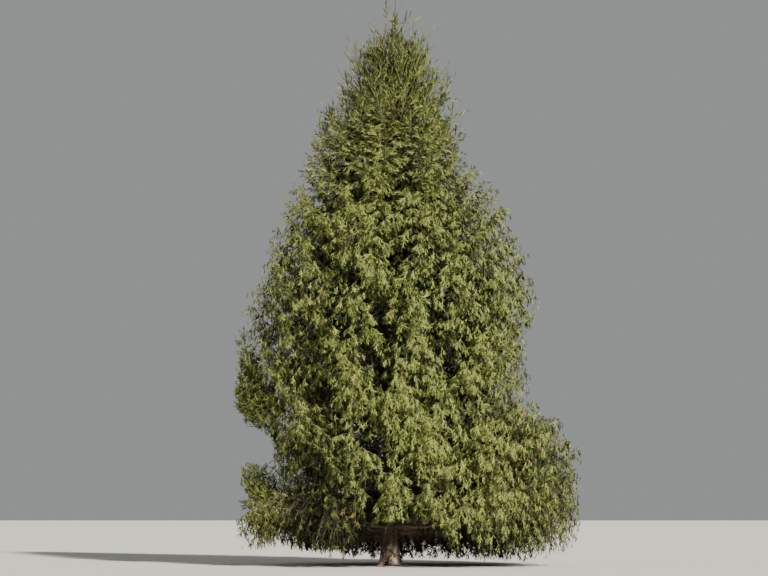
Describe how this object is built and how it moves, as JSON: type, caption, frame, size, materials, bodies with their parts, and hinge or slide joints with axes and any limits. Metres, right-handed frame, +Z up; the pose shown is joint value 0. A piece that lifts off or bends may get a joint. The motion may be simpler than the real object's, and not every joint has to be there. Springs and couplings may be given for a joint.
{
  "type": "spruce tree",
  "caption": "Tall conical spruce with a straight tapering trunk and root flare, long low boughs, and drooping needle sprays in tiers from near the ground to a pointed top.",
  "frame": {"origin": "middle of the flat cut under the trunk, at ground level", "axes": "+Z up along the trunk, +X to the right in the picture, -Y towards the viewer"},
  "size_m": [10.218, 9.1642, 16.9],
  "materials": {
    "bark": "rough scaly bark",
    "limb_bark": "rough bark",
    "needles": "matt olive-green needles"
  },
  "bodies": {
    "root": {"bough_low_1": "limb_bark", "bough_low_2": "limb_bark", "bough_low_3": "limb_bark", "bough_low_4": "limb_bark", "bough_low_5": "limb_bark", "bough_low_6": "limb_bark", "bough_low_7": "limb_bark", "bough_skirt_1": "limb_bark", "bough_skirt_2": "limb_bark", "bough_skirt_3": "limb_bark", "bough_skirt_4": "limb_bark", "bough_skirt_5": "limb_bark", "bough_skirt_6": "limb_bark", "bough_skirt_7": "limb_bark", "mass_crest_1": "needles", "mass_crest_2": "needles", "mass_crest_3": "needles", "mass_high_1": "needles", "mass_high_2": "needles", "mass_high_3": "needles", "mass_high_4": "needles", "mass_low_1": "needles", "mass_low_2": "needles", "mass_low_3": "needles", "mass_low_4": "needles", "mass_low_5": "needles", "mass_low_6": "needles", "mass_low_7": "needles", "mass_lower_middle_1": "needles", "mass_lower_middle_2": "needles", "mass_lower_middle_3": "needles", "mass_lower_middle_4": "needles", "mass_lower_middle_5": "needles", "mass_lower_middle_6": "needles", "mass_middle_1": "needles", "mass_middle_2": "needles", "mass_middle_3": "needles", "mass_middle_4": "needles", "mass_middle_5": "needles", "mass_middle_6": "needles", "mass_skirt_1": "needles", "mass_skirt_2": "needles", "mass_skirt_3": "needles", "mass_skirt_4": "needles", "mass_skirt_5": "needles", "mass_skirt_6": "needles", "mass_skirt_7": "needles", "mass_tip_1": "needles", "mass_tip_2": "needles", "mass_tip_3": "needles", "mass_upper_1": "needles", "mass_upper_2": "needles", "mass_upper_3": "needles", "mass_upper_4": "needles", "mass_upper_middle_1": "needles", "mass_upper_middle_2": "needles", "mass_upper_middle_3": "needles", "mass_upper_middle_4": "needles", "mass_upper_middle_5": "needles", "trunk": "bark"}
  },
  "joints": []
}
